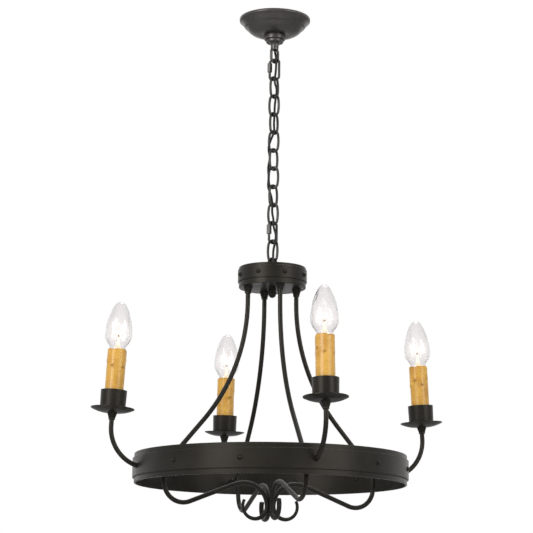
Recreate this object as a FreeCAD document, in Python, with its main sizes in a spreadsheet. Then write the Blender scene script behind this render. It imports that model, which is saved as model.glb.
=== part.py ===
"""Wagon wheel chandelier: a riveted band ring carried on four bent tubes from a riveted hub,
hung on a chain of oval links from a spun ceiling canopy, with four leaning candle lamps.

Frame: millimetres, +Z up, origin at the centre of the ceiling plane, so all of it lies below zero.
The viewer stands on the -Y side. Arm 1 is the nearest one, and the others follow every 90 degrees.
"""

import FreeCAD, Part

import math
import os

import Sketcher

V = FreeCAD.Vector
UP = V(0, 0, 1)

# ---------------------------------------------------------------- driving dimensions

SIZES = {
    # ceiling fittings
    "crossbar_length": 104.0,
    "crossbar_width": 20.0,
    "crossbar_thick": 2.5,
    "slot_spacing": 79.4,
    "slot_travel": 19.0,
    "slot_width": 4.8,
    "nipple_radius": 4.9,
    "nipple_bore": 3.5,
    "nipple_length": 30.0,
    "thread_gap": 0.05,
    "lock_nut_flats": 14.0,
    "lock_nut_thick": 4.0,
    # canopy and its screw collar
    "canopy_radius": 63.5,
    "canopy_rim": 4.3,
    "canopy_ridge_radius": 52.0,
    "canopy_ridge_drop": 19.5,
    "canopy_drop": 29.6,
    "canopy_wall": 1.2,
    "canopy_hole": 13.4,
    "collar_radius": 18.8,
    "collar_deep": 9.6,
    "collar_step_radius": 15.5,
    "collar_step_deep": 5.3,
    "collar_bore": 12.58,
    "barrel_radius": 12.5,
    "barrel_top": 17.5,
    "barrel_bottom": 43.5,
    "neck_radius": 7.2,
    "wire_way": 3.0,
    # hanging loops at both ends of the chain
    "loop_wire": 5.0,
    "loop_half_width": 8.0,
    "loop_drop": 80.5,
    "loop_height": 26.0,
    # chain
    "link_wire": 4.5,
    "link_inside": 33.4,
    "link_half_width": 9.0,
    "link_end_radius": 8.0,
    "link_gap": 0.2,
    "narrow_turn": 42.0,
    "wide_turn": -22.0,
    "quick_corner": 5.0,
    "quick_crown": 12.0,
    "quick_opening_low": 2.6,
    "quick_opening": 6.6,
    "sleeve_nut_flats": 8.0,
    "sleeve_nut_length": 16.0,
    "sleeve_nut_low": -3.5,
    "sleeve_nut_gap": 0.08,
    # hub
    "hub_top": 457.5,
    "hub_height": 36.0,
    "hub_radius": 58.7,
    "hub_wall": 1.5,
    "hub_floor": 2.0,
    "hub_cover_thick": 1.5,
    "hub_strap_top": 4.5,
    "hub_strap_width": 22.0,
    "hub_strap_thick": 1.8,
    "hub_rivet_turn": 21.0,
    "hub_stem_radius": 4.9,
    "hub_loop_half_width": 8.8,
    "finial_radius": 6.8,
    "finial_neck": 3.4,
    "bushing_place": 18.0,
    "bushing_radius": 6.0,
    "bushing_throat": 3.0,
    # rivets of both straps
    "rivet_head_radius": 4.2,
    "rivet_head_high": 2.8,
    "rivet_shank": 2.0,
    # ring
    "ring_bottom": 836.5,
    "ring_height": 50.0,
    "ring_radius": 234.0,
    "ring_wall": 3.0,
    "ring_strap_bottom": 8.5,
    "ring_strap_width": 33.0,
    "ring_strap_thick": 3.0,
    "arm_turn": 18.0,
    # arm tubes: the bending schedule, from the hub to the candle
    "tube_radius": 4.0,
    "tube_bore": 3.0,
    "tube_place": 44.5,
    "tube_top": 352.0,
    "tube_drop": 34.0,
    "tube_flare_radius": 330.0,
    "tube_flare_angle": 40.0,
    "tube_slope": 86.0,
    "tube_heel_radius": 52.5,
    "tube_heel_angle": 50.0,
    "tube_arm_radius": 65.0,
    "candle_lean": 3.25,
    "tube_stub": 36.0,
    "tube_hole_radius": 4.45,
    # scrolls: the bending schedule, from the weld under the tube to the hook
    "scroll_place": 188.0,
    "scroll_leg_top": 34.0,
    "scroll_leg": 35.5,
    "scroll_dip_radius": 33.0,
    "scroll_dip_angle": 111.7,
    "scroll_rise": 81.6,
    "scroll_crest_radius": 60.0,
    "scroll_crest_angle": 21.7,
    "scroll_fall_radius": 39.0,
    "scroll_hook_radius": 21.6,
    "scroll_hook_angle": 208.0,
    "scroll_shoulder": 0.08,
    "scroll_tip_thin": 2.5,
    "scroll_tip_wide": 4.3,
    # candle lamps, heights counted along the leaning candle from the end of the arm's bend
    "ferrule_low": 9.7,
    "ferrule_narrow": 5.6,
    "ferrule_wide": 8.6,
    "ferrule_collar": 2.5,
    "bobeche_low": 21.5,
    "bobeche_flat": 13.5,
    "bobeche_radius": 37.0,
    "bobeche_deep": 8.0,
    "bobeche_thick": 1.2,
    "cup_radius": 22.2,
    "cup_foot_radius": 21.6,
    "cup_wall": 1.2,
    "cup_round": 9.6,
    "cup_top": 59.4,
    "sleeve_low": 24.9,
    "socket_radius": 14.1,
    "socket_inside": 13.2,
    "socket_top": 118.0,
    "sleeve_radius": 15.9,
    "sleeve_inside": 14.5,
    "sleeve_top": 130.0,
    # medium screw base flame bulb
    "bulb_base_radius": 13.1,
    "bulb_base_length": 24.0,
    "bulb_base_top": 123.0,
    "bulb_neck_radius": 13.0,
    "bulb_neck_top": 130.0,
    "bulb_flare_radius": 17.3,
    "bulb_flare_top": 139.0,
    "bulb_radius": 23.2,
    "bulb_belly_low": 152.0,
    "bulb_belly_top": 157.0,
    "bulb_shoulder_radius": 19.5,
    "bulb_shoulder": 181.5,
    "bulb_nose_radius": 9.25,
    "bulb_nose": 206.5,
    "bulb_tip": 212.5,
    "bulb_seal": 0.6,
    "bulb_wall": 0.9,
}

doc = FreeCAD.newDocument("chandelier")
sheet = doc.addObject("Spreadsheet::Sheet", "Sizes")
for row, (alias, number) in enumerate(SIZES.items(), start=1):
    sheet.set(f"A{row}", alias)
    sheet.set(f"B{row}", str(number))
    sheet.setAlias(f"B{row}", alias)
doc.recompute()


class Size:
    """A length or an angle with the formula that the document keeps for it."""

    def __init__(self, number, formula):
        self.number = number
        self.formula = formula

    def _join(self, other, sign, number):
        other_formula = other.formula if isinstance(other, Size) else str(other)
        return Size(number, f"({self.formula} {sign} {other_formula})")

    def __add__(self, other):
        return self._join(other, "+", self.number + number_of(other))

    def __sub__(self, other):
        return self._join(other, "-", self.number - number_of(other))

    def __mul__(self, other):
        return self._join(other, "*", self.number * number_of(other))

    def __truediv__(self, other):
        return self._join(other, "/", self.number / number_of(other))

    def __neg__(self):
        return Size(-self.number, f"(0 - {self.formula})")


def number_of(value):
    """The plain number of a size or of a number."""
    return value.number if isinstance(value, Size) else float(value)


def size(alias):
    """A driving dimension from the sheet."""
    return Size(SIZES[alias], f"Sizes.{alias}")


def fixed(number):
    """A plain number in the same clothes as a driving dimension."""
    return Size(float(number), str(number))


ZERO = fixed(0)


def bind(target, name, value):
    """Sets a property and keeps its formula with it."""
    if isinstance(value, Size):
        target.setExpression(name, value.formula)
    else:
        setattr(target, name, value)


# ---------------------------------------------------------------- drawing helpers


def origin_part(body, role):
    """One of a body's own origin planes or axes, found by its role."""
    for feature in body.Origin.OriginFeatures:
        if feature.Role == role:
            return feature
    raise ValueError(role)


def new_body(label, placement=None):
    """A body that will hold one kind of piece, named as its node."""
    body = doc.addObject("PartDesign::Body", label)
    body.Label = label
    body.AllowCompound = True
    if placement is not None:
        body.Placement = placement
    return body


def new_sketch(body, name, role="XZ_Plane", shift=None):
    """A sketch on one of the body's own planes, moved by shift in the plane's own frame."""
    sketch = body.newObject("Sketcher::SketchObject", name)
    sketch.AttachmentSupport = (origin_part(body, role), "")
    sketch.MapMode = "FlatFace"
    if shift is not None:
        sketch.AttachmentOffset = shift
    return sketch


def hold(sketch, kind, value, *where):
    """Adds one driving constraint and ties it to the sheet."""
    number = math.radians(number_of(value)) if kind == "Angle" else number_of(value)
    index = sketch.addConstraint(Sketcher.Constraint(kind, *where, number))
    if isinstance(value, Size) and "Sizes." in value.formula:
        formula = f"({value.formula}) * 1 deg" if kind == "Angle" else value.formula
        sketch.setExpression(f"Constraints[{index}]", formula)


def place_point(sketch, geometry, end, x, y):
    """Pins an end of a sketch edge at (x, y)."""
    if number_of(x) == 0:
        sketch.addConstraint(Sketcher.Constraint("PointOnObject", geometry, end, -2))
    else:
        hold(sketch, "DistanceX", x, -1, 1, geometry, end)
    if number_of(y) == 0:
        sketch.addConstraint(Sketcher.Constraint("PointOnObject", geometry, end, -1))
    else:
        hold(sketch, "DistanceY", y, -1, 1, geometry, end)


def arc_between(start, end, radius):
    """The arc from start to end; it bulges to the right of the way if radius is positive."""
    chord = end - start
    half = chord.Length / 2
    side = 1 if radius > 0 else -1
    rise = math.sqrt(max(radius * radius - half * half, 0))
    left = UP.cross(chord).normalize()
    centre = (start + end) / 2 + left * (side * rise)
    first, last = (start, end) if side > 0 else (end, start)
    angles = [math.atan2(p.y - centre.y, p.x - centre.x) for p in (first, last)]
    circle = Part.Circle(centre, UP, abs(radius))
    return Part.ArcOfCircle(circle, angles[0], angles[1] + (angles[1] < angles[0]) * 2 * math.pi)


def draw_outline(sketch, corners):
    """A closed outline of (x, y) or (x, y, radius of the arc to the next corner)."""
    edges = []
    for index, corner in enumerate(corners):
        following = corners[(index + 1) % len(corners)]
        start = V(number_of(corner[0]), number_of(corner[1]), 0)
        end = V(number_of(following[0]), number_of(following[1]), 0)
        if len(corner) == 3:
            arc = arc_between(start, end, number_of(corner[2]))
            edge = sketch.addGeometry(arc, False)
            ends = (1, 2) if number_of(corner[2]) > 0 else (2, 1)
        else:
            edge = sketch.addGeometry(Part.LineSegment(start, end), False)
            ends = (1, 2)
        edges.append((edge, ends))
    for index, (edge, ends) in enumerate(edges):
        following, following_ends = edges[(index + 1) % len(edges)]
        join = Sketcher.Constraint("Coincident", edge, ends[1], following, following_ends[0])
        sketch.addConstraint(join)
        corner = corners[index]
        place_point(sketch, edge, ends[0], corner[0], corner[1])
        if len(corner) == 3:
            hold_arc(sketch, edge, corner, corners[(index + 1) % len(corners)])


def hold_arc(sketch, edge, corner, following):
    """Drives an arc by its radius, or a half circle by levelling its centre with its ends."""
    across = abs(number_of(following[0]) - number_of(corner[0]))
    along = abs(number_of(following[1]) - number_of(corner[1]))
    radius = corner[2] if number_of(corner[2]) > 0 else -corner[2]
    if abs(math.hypot(across, along) - 2 * number_of(radius)) > 1e-6:
        hold(sketch, "Radius", radius, edge)
    else:
        level = "Vertical" if across < along else "Horizontal"
        sketch.addConstraint(Sketcher.Constraint(level, edge, 3, edge, 1))


def draw_circle(sketch, radius, x=ZERO, y=ZERO):
    """A circle with its centre at (x, y)."""
    centre = V(number_of(x), number_of(y), 0)
    edge = sketch.addGeometry(Part.Circle(centre, UP, number_of(radius)), False)
    if number_of(x) == 0 and number_of(y) == 0:
        sketch.addConstraint(Sketcher.Constraint("Coincident", edge, 3, -1, 1))
    else:
        place_point(sketch, edge, 3, x, y)
    hold(sketch, "Radius", radius, edge)


def draw_path(sketch, x, y, moves):
    """A bending schedule drawn from (x, y), heading down: ("run", length) or ("bend", radius, turn).

    A positive turn is to the left of the way. Returns each move's end as (x, y, heading).
    """
    px, py, heading = number_of(x), number_of(y), -math.pi / 2
    last, ends = None, []
    for kind, *amounts in moves:
        if kind == "run":
            length = number_of(amounts[0])
            nx, ny = px + length * math.cos(heading), py + length * math.sin(heading)
            edge = sketch.addGeometry(Part.LineSegment(V(px, py, 0), V(nx, ny, 0)), False)
            hold(sketch, "Distance", amounts[0], edge)
            first, final = 1, 2
        else:
            radius, turn = number_of(amounts[0]), math.radians(number_of(amounts[1]))
            side = 1 if turn > 0 else -1
            cx = px - side * radius * math.sin(heading)
            cy = py + side * radius * math.cos(heading)
            begin = math.atan2(py - cy, px - cx)
            stop = begin + turn
            circle = Part.Circle(V(cx, cy, 0), UP, radius)
            edge = sketch.addGeometry(
                Part.ArcOfCircle(circle, min(begin, stop), max(begin, stop)), False
            )
            hold(sketch, "Radius", amounts[0], edge)
            hold(sketch, "Angle", amounts[1] if side > 0 else -amounts[1], edge)
            nx, ny = cx + radius * math.cos(stop), cy + radius * math.sin(stop)
            first, final = (1, 2) if side > 0 else (2, 1)
            heading += turn
        if last is None:
            place_point(sketch, edge, first, x, y)
            sketch.addConstraint(Sketcher.Constraint("Vertical", edge))
        else:
            sketch.addConstraint(Sketcher.Constraint("Tangent", last[0], last[1], edge, first))
        last = (edge, final)
        px, py = nx, ny
        ends.append((px, py, heading))
    return ends


def revolve(body, name, corners, shift=None, role="XZ_Plane"):
    """A turned form: the outline (radius, height) spun about its own vertical axis."""
    sketch = new_sketch(body, f"{name}_outline", role, shift)
    draw_outline(sketch, corners)
    feature = body.newObject("PartDesign::Revolution", name)
    feature.Profile = sketch
    feature.ReferenceAxis = (sketch, ["V_Axis"])
    feature.Angle = 360
    return feature


def groove(body, name, corners):
    """A turned cut, the same way."""
    sketch = new_sketch(body, f"{name}_outline")
    draw_outline(sketch, corners)
    feature = body.newObject("PartDesign::Groove", name)
    feature.Profile = sketch
    feature.ReferenceAxis = (sketch, ["V_Axis"])
    feature.Angle = 360
    return feature


def pad(body, name, sketch, length):
    """A sketch thickened towards its plane's facing side."""
    feature = body.newObject("PartDesign::Pad", name)
    feature.Profile = sketch
    bind(feature, "Length", length)
    return feature


def drill(body, name, sketch, length, way=None):
    """Holes cut both ways from a sketch, or along way if that is given."""
    feature = body.newObject("PartDesign::Pocket", name)
    feature.Profile = sketch
    bind(feature, "Length", length)
    feature.Midplane = True
    if way is not None:
        feature.UseCustomVector = True
        feature.Direction = way
    return feature


def repeat_round(body, name, features, count):
    """The features repeated evenly about the body's vertical axis."""
    feature = body.newObject("PartDesign::PolarPattern", name)
    feature.Originals = features
    feature.Axis = (origin_part(body, "Z_Axis"), [""])
    feature.Angle = 360
    feature.Occurrences = count
    body.Tip = feature
    return feature


def sweep(body, name, spine, *profiles):
    """A section carried along a spine."""
    feature = body.newObject("PartDesign::AdditivePipe", name)
    feature.Profile = profiles[0]
    feature.Spine = (spine, [])
    if len(profiles) > 1:
        feature.Transformation = "Multisection"
        feature.Sections = list(profiles[1:])
    return feature


def turned(angle, base=V(0, 0, 0)):
    """A placement turned about the vertical."""
    return FreeCAD.Placement(base, FreeCAD.Rotation(UP, angle))


def hex_nut(body, name, flats, thick, bore, low, x=0.0, y=0.0):
    """A hexagon nut whose lower face is at the height low."""
    shift = FreeCAD.Placement(V(x, y, low), FreeCAD.Rotation())
    sketch = new_sketch(body, f"{name}_outline", "XY_Plane", shift)
    corner = number_of(flats) / math.sqrt(3)
    points = [
        V(corner * math.cos(math.radians(60 * k)), corner * math.sin(math.radians(60 * k)), 0)
        for k in range(6)
    ]
    sides = [
        sketch.addGeometry(Part.LineSegment(points[k], points[(k + 1) % 6]), False)
        for k in range(6)
    ]
    round_edge = sketch.addGeometry(Part.Circle(V(0, 0, 0), UP, corner), True)
    sketch.addConstraint(Sketcher.Constraint("Coincident", round_edge, 3, -1, 1))
    for k, side in enumerate(sides):
        sketch.addConstraint(Sketcher.Constraint("Coincident", side, 2, sides[(k + 1) % 6], 1))
        sketch.addConstraint(Sketcher.Constraint("PointOnObject", side, 1, round_edge))
        if k:
            sketch.addConstraint(Sketcher.Constraint("Equal", sides[0], side))
    sketch.addConstraint(Sketcher.Constraint("PointOnObject", sides[0], 1, -1))
    hold(sketch, "Radius", flats / math.sqrt(3), round_edge)
    draw_circle(sketch, bore)
    return pad(body, name, sketch, thick)


# ---------------------------------------------------------------- ceiling fittings


def build_crossbar():
    """A flat steel bar with two screw slots and a tapped centre hole, screwed to the ceiling box."""
    body = new_body("crossbar")
    half, wide = size("crossbar_length") / 2, size("crossbar_width") / 2
    outline = new_sketch(body, "crossbar_outline", "XY_Plane")
    draw_outline(
        outline,
        [(-half, -wide), (half, -wide, wide), (half, wide), (-half, wide, wide)],
    )
    draw_circle(outline, size("nipple_radius") + size("thread_gap"))
    reach, narrow = size("slot_travel") / 2, size("slot_width") / 2
    for side in (-1, 1):
        middle = size("slot_spacing") * side / 2
        draw_outline(
            outline,
            [
                (middle - reach, -narrow),
                (middle + reach, -narrow, narrow),
                (middle + reach, narrow),
                (middle - reach, narrow, narrow),
            ],
        )
    feature = pad(body, "crossbar_plate", outline, size("crossbar_thick"))
    feature.Reversed = True
    return body


def build_nipple():
    """The hollow threaded nipple that carries the loop from the crossbar, and its lock nuts."""
    nipple = new_body("canopy_nipple")
    inner, outer = size("nipple_bore"), size("nipple_radius")
    low = -size("nipple_length")
    revolve(nipple, "nipple", [(inner, low), (outer, low), (outer, ZERO), (inner, ZERO)])

    nuts = new_body("nipple_lock_nuts")
    bore = outer + size("thread_gap")
    flats, thick = size("lock_nut_flats"), size("lock_nut_thick")
    under_bar = -SIZES["crossbar_thick"] - SIZES["lock_nut_thick"]
    hex_nut(nuts, "bar_nut", flats, thick, bore, under_bar)
    hex_nut(nuts, "barrel_nut", flats, thick, bore, -SIZES["barrel_top"])
    return [nipple, nuts]


def draw_stadium(sketch, half_width, top, bottom):
    """A closed round-ended path, upright, between the heights top and bottom."""
    draw_outline(
        sketch,
        [
            (half_width, bottom + half_width),
            (half_width, top - half_width, half_width),
            (-half_width, top - half_width),
            (-half_width, bottom + half_width, half_width),
        ],
    )


def build_canopy_loop():
    """The screw collar loop: a threaded barrel, a waisted neck and an eye, bored for the cord."""
    body = new_body("canopy_loop", turned(SIZES["narrow_turn"]))
    eye_bottom = -size("loop_drop")
    eye_top = eye_bottom + size("loop_height")
    half, wire = size("loop_half_width"), size("loop_wire") / 2

    spine = new_sketch(body, "eye_path")
    draw_stadium(spine, half, eye_top, eye_bottom)
    middle = number_of(eye_bottom + eye_top) / 2
    section = new_sketch(
        body, "eye_section", "XY_Plane", FreeCAD.Placement(V(0, 0, middle), FreeCAD.Rotation())
    )
    draw_circle(section, wire, half)
    sweep(body, "eye", spine, section)

    barrel, top, bottom = size("barrel_radius"), -size("barrel_top"), -size("barrel_bottom")
    deep = top - 13.0
    bore = size("nipple_radius") + size("thread_gap")
    neck, boss_end = size("neck_radius"), eye_top - wire - 0.5
    revolve(
        body,
        "barrel",
        [
            (ZERO, boss_end),
            (neck - 0.6, boss_end),
            (neck, eye_top + 1.0, -fixed(14.0)),
            (neck + 2.0, bottom - 1.2),
            (barrel - 1.2, bottom - 1.2),
            (barrel, bottom),
            (barrel, top - 1.0),
            (barrel - 1.0, top),
            (ZERO, top),
        ],
    )
    groove(
        body,
        "bore",
        [
            (ZERO, boss_end - 1.0),
            (size("wire_way"), boss_end - 1.0),
            (size("wire_way"), deep),
            (bore, deep),
            (bore, top + 1.0),
            (ZERO, top + 1.0),
        ],
    )
    return body


def build_canopy():
    """The spun canopy: a rolled rim, a steep bowl down to a soft ridge, and a shallow dome."""
    body = new_body("canopy")
    rim, wall = size("canopy_radius"), size("canopy_wall")
    ridge, ridge_z = size("canopy_ridge_radius"), -size("canopy_ridge_drop")
    hole, low = size("canopy_hole"), -size("canopy_drop")
    band = -size("canopy_rim")
    revolve(
        body,
        "bowl",
        [
            (rim - wall, ZERO),
            (rim - wall, band + 0.4),
            (rim - wall - 1.0, band - 0.2, fixed(46.0)),
            (ridge - wall * 0.6, ridge_z + wall * 0.8, fixed(80.0)),
            (hole, low + wall),
            (hole, low),
            (size("collar_radius"), low, -fixed(82.0)),
            (ridge, ridge_z, -fixed(46.0)),
            (rim - 1.0, band - 0.8),
            (rim, band),
            (rim, ZERO),
        ],
    )
    return body


def build_collar():
    """The stepped screw collar that holds the canopy up on the barrel's thread."""
    body = new_body("canopy_collar")
    bore, outer, step = size("collar_bore"), size("collar_radius"), size("collar_step_radius")
    top = -size("canopy_drop")
    middle = top - size("collar_deep")
    low = middle - size("collar_step_deep")
    revolve(
        body,
        "collar",
        [
            (bore, low),
            (step - 1.0, low),
            (step, low + 1.0),
            (step, middle),
            (outer - 0.8, middle),
            (outer, middle + 0.8),
            (outer, top - 0.8),
            (outer - 0.8, top),
            (bore, top),
        ],
    )
    return body


# ---------------------------------------------------------------- chain


def ring_segment(name, big, small, sweep_angle, placement):
    """A bent piece of round wire: part of a torus."""
    segment = doc.addObject("Part::Torus", name)
    bind(segment, "Radius1", big)
    bind(segment, "Radius2", small)
    segment.Angle3 = sweep_angle
    segment.Placement = placement
    return segment


def upright(centre, start):
    """A placement that stands a flat ring segment up in the link's plane, starting at an angle."""
    stand = FreeCAD.Rotation(V(1, 0, 0), 90)
    return FreeCAD.Placement(centre, stand * FreeCAD.Rotation(UP, start))


def join(label, pieces, placement):
    """Several pieces of wire welded into one."""
    whole = doc.addObject("Part::MultiFuse", label)
    whole.Shapes = pieces
    whole.Label = label
    whole.Placement = placement
    return whole


def link_placement(turn_name, top):
    """Where a link hangs: turned about the vertical, with its top wire's centre at top."""
    return turned(SIZES[turn_name], V(0, 0, top))


def build_oval_link(label, turn_name, top):
    """An oval chain link: two tight ends joined by two long flat bows, all of round wire."""
    wire = size("link_wire") / 2
    tall = (size("link_inside") + size("link_wire")) / 2
    half, tight = size("link_half_width"), size("link_end_radius")
    rise = tall.number - tight.number
    bow = (half * half + (tall - tight) * (tall - tight) - tight * tight) / ((half - tight) * 2)
    lean = math.degrees(math.atan2(rise, bow.number - half.number))
    middle = -tall.number
    offset = bow.number - half.number
    pieces = [
        ring_segment(f"{label}_right", bow, wire, 2 * lean, upright(V(-offset, 0, middle), -lean)),
        ring_segment(
            f"{label}_top", tight, wire, 180 - 2 * lean, upright(V(0, 0, middle + rise), lean)
        ),
        ring_segment(
            f"{label}_left", bow, wire, 2 * lean, upright(V(offset, 0, middle), 180 - lean)
        ),
        ring_segment(
            f"{label}_low", tight, wire, 180 - 2 * lean, upright(V(0, 0, middle - rise), 180 + lean)
        ),
    ]
    return join(label, pieces, link_placement(turn_name, top))


def build_quick_link(label, nut_label, turn_name, top):
    """A quick link of round wire with an opening in its left side, and the sleeve nut over it."""
    wire = size("link_wire") / 2
    tall = (size("link_inside") + size("link_wire")) / 2
    half, corner, crown = size("link_half_width"), size("quick_corner"), size("quick_crown")
    across = half.number - corner.number
    sink = math.sqrt((crown.number - corner.number) ** 2 - across**2)
    side_top = tall.number - crown.number + sink
    bend = math.degrees(math.atan2(sink, across))
    middle = -tall.number
    pieces = []
    for side, half_turn in (("top", 0), ("low", 180)):
        sign = 1 if side == "top" else -1
        height = middle + sign * side_top
        crown_height = middle + sign * (tall.number - crown.number)
        pieces += [
            ring_segment(
                f"{label}_{side}_corner_1",
                corner,
                wire,
                bend,
                upright(V(sign * across, 0, height), half_turn),
            ),
            ring_segment(
                f"{label}_{side}_crown",
                crown,
                wire,
                180 - 2 * bend,
                upright(V(0, 0, crown_height), half_turn + bend),
            ),
            ring_segment(
                f"{label}_{side}_corner_2",
                corner,
                wire,
                bend,
                upright(V(-sign * across, 0, height), half_turn + 180 - bend),
            ),
        ]
    bar = doc.addObject("Part::Cylinder", f"{label}_back")
    bind(bar, "Radius", wire)
    bar.Height = 2 * side_top
    bar.Placement.Base = V(half.number, 0, middle - side_top)
    stubs = []
    opening_low = SIZES["quick_opening_low"]
    opening_top = opening_low + SIZES["quick_opening"]
    for side, low, high in (("upper", opening_top, side_top), ("lower", -side_top, opening_low)):
        stub = doc.addObject("Part::Cylinder", f"{label}_{side}_stub")
        bind(stub, "Radius", wire)
        stub.Height = high - low
        stub.Placement.Base = V(-half.number, 0, middle + low)
        stubs.append(stub)
    link = join(label, pieces + [bar] + stubs, link_placement(turn_name, top))

    nut = new_body(nut_label)
    nut.Placement = link.Placement.multiply(FreeCAD.Placement(V(-half.number, 0, 0), FreeCAD.Rotation()))
    long = size("sleeve_nut_length")
    low = middle + SIZES["sleeve_nut_low"]
    hex_nut(nut, f"{nut_label}_hexagon", size("sleeve_nut_flats"), long, wire + size("sleeve_nut_gap"), low)
    return [link, nut]


def build_chain():
    """From the canopy loop down: a quick link, eight oval links, a quick link and one more oval."""
    link_step = SIZES["link_inside"] - SIZES["link_gap"]
    over = (SIZES["loop_wire"] + SIZES["link_wire"]) / 2 + SIZES["link_gap"]
    top = -SIZES["loop_drop"] + over
    pieces = build_quick_link("upper_quick_link", "upper_quick_link_nut", "wide_turn", top)
    names = [f"chain_link_{number}" for number in range(1, 9)]
    for index, name in enumerate(names):
        top -= link_step
        pieces.append(build_oval_link(name, "narrow_turn" if index % 2 == 0 else "wide_turn", top))
    top -= link_step
    pieces += build_quick_link("lower_quick_link", "lower_quick_link_nut", "narrow_turn", top)
    top -= link_step
    pieces.append(build_oval_link("chain_link_9", "wide_turn", top))
    end_wire = top - SIZES["link_inside"] - SIZES["link_wire"]
    return pieces, end_wire + over


# ---------------------------------------------------------------- hub


def build_hub_loop(arch_top):
    """The hub's hanging loop: an arch of round bar on a flange with a threaded shank."""
    body = new_body("hub_loop", turned(SIZES["narrow_turn"]))
    half, wire = size("hub_loop_half_width"), size("loop_wire") / 2
    flange = -size("hub_top") + 2.5
    foot = flange - 1.0
    spring = fixed(arch_top) - half
    spine = new_sketch(body, "arch_path")
    start = V(half.number, foot.number, 0)
    rise = V(half.number, spring.number, 0)
    over = V(-half.number, spring.number, 0)
    end = V(-half.number, foot.number, 0)
    up = spine.addGeometry(Part.LineSegment(start, rise), False)
    bow = spine.addGeometry(arc_between(rise, over, half.number), False)
    down = spine.addGeometry(Part.LineSegment(over, end), False)
    place_point(spine, up, 1, half, foot)
    place_point(spine, up, 2, half, spring)
    spine.addConstraint(Sketcher.Constraint("Tangent", up, 2, bow, 1))
    spine.addConstraint(Sketcher.Constraint("Tangent", bow, 2, down, 1))
    hold(spine, "Radius", half, bow)
    place_point(spine, down, 2, -half, foot)
    section = new_sketch(
        body, "arch_section", "XY_Plane", FreeCAD.Placement(V(0, 0, foot.number), FreeCAD.Rotation())
    )
    draw_circle(section, wire, half)
    sweep(body, "arch", spine, section)
    shank = size("hub_stem_radius")
    under = -size("hub_top")
    revolve(
        body,
        "flange",
        [
            (ZERO, under - 9.0),
            (shank, under - 9.0),
            (shank, under),
            (half + wire, under),
            (half + wire, flange - 0.8),
            (half + wire - 0.8, flange),
            (ZERO, flange),
        ],
    )
    return body


def build_hub_pan():
    """The hub's drum, a rolled wall welded to a floor plate, drilled for rivets, tubes and stem."""
    body = new_body("hub_pan", turned(SIZES["hub_rivet_turn"]))
    outer, wall = size("hub_radius"), size("hub_wall")
    top = -size("hub_top") - size("hub_cover_thick")
    low = -size("hub_top") - size("hub_height")
    floor = low + size("hub_floor")
    revolve(
        body,
        "drum",
        [
            (size("hub_stem_radius") + size("thread_gap"), low),
            (outer - 0.8, low),
            (outer, low + 0.8),
            (outer, top),
            (outer - wall, top),
            (outer - wall, floor),
            (size("hub_stem_radius") + size("thread_gap"), floor),
        ],
    )
    middle = rivet_height_on_hub()
    rivet_hole = new_sketch(
        body, "rivet_hole", "XZ_Plane", FreeCAD.Placement(V(0, 0, outer.number), FreeCAD.Rotation())
    )
    draw_circle(rivet_hole, size("rivet_shank") + size("thread_gap"), ZERO, middle)
    rivet_drill = drill(body, "rivet_drill", rivet_hole, 8.0)
    repeat_round(body, "rivet_drills", [rivet_drill], 8)
    turn_back = FreeCAD.Rotation(UP, SIZES["arm_turn"] - SIZES["hub_rivet_turn"])
    tube_hole = new_sketch(
        body, "tube_hole", "XY_Plane", FreeCAD.Placement(V(0, 0, low.number), turn_back)
    )
    draw_circle(tube_hole, size("tube_radius") + size("thread_gap"), ZERO, -size("tube_place"))
    tube_drill = drill(body, "tube_drill", tube_hole, 8.0)
    repeat_round(body, "tube_drills", [tube_drill], 4)
    return body


def rivet_height_on_hub():
    """The height of the hub's rivets, at the middle of its strap."""
    return -size("hub_top") - size("hub_strap_top") - size("hub_strap_width") / 2


def build_hub_cover():
    """The lid of the hub's wiring drum, with a locating lip and the cord's hole."""
    body = new_body("hub_cover")
    top, thick = -size("hub_top"), size("hub_cover_thick")
    outer, bore = size("hub_radius"), size("hub_stem_radius") + size("thread_gap")
    lip = outer - size("hub_wall") - 0.2
    revolve(
        body,
        "lid",
        [
            (bore, top - thick),
            (lip - 1.2, top - thick),
            (lip - 1.2, top - thick - 3.0),
            (lip, top - thick - 3.0),
            (lip, top - thick),
            (outer, top - thick),
            (outer, top - 0.5),
            (outer - 0.5, top),
            (bore, top),
        ],
    )
    hole = new_sketch(
        body, "cord_hole", "XY_Plane", FreeCAD.Placement(V(0, 0, top.number), FreeCAD.Rotation())
    )
    draw_circle(hole, size("bushing_radius") - 1.5 + size("thread_gap"), ZERO, -size("bushing_place"))
    drill(body, "cord_drill", hole, 8.0)
    return body


def build_cord_bushing():
    """A snap-in plastic bushing that lines the cord's hole in the lid."""
    place = V(0, -SIZES["bushing_place"], -SIZES["hub_top"])
    body = new_body("cord_bushing", FreeCAD.Placement(place, FreeCAD.Rotation()))
    rim, throat = size("bushing_radius"), size("bushing_throat")
    neck = rim - 1.5
    low = -size("hub_cover_thick") - 3.0
    revolve(
        body,
        "bushing",
        [
            (throat, low),
            (neck, low),
            (neck, ZERO),
            (rim, ZERO),
            (rim, fixed(0.8)),
            (rim - 0.8, fixed(1.6)),
            (throat + 0.6, fixed(1.6)),
            (throat, fixed(1.0)),
        ],
    )
    return body


def build_strap(label, placement, radius, thick, low, high, rivets):
    """A flat steel strap rolled round a wall, with its rivet holes."""
    body = new_body(label, placement)
    outer = radius + thick
    revolve(
        body,
        f"{label}_hoop",
        [
            (radius, low),
            (outer - 0.5, low),
            (outer, low + 0.5),
            (outer, high - 0.5),
            (outer - 0.5, high),
            (radius, high),
        ],
    )
    shift = FreeCAD.Placement(V(0, 0, radius.number), FreeCAD.Rotation())
    hole = new_sketch(body, f"{label}_hole", "XZ_Plane", shift)
    draw_circle(hole, size("rivet_shank") + size("thread_gap"), ZERO, (low + high) / 2)
    bit = drill(body, f"{label}_drill", hole, 12.0)
    repeat_round(body, f"{label}_drills", [bit], rivets)
    return body


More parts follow.
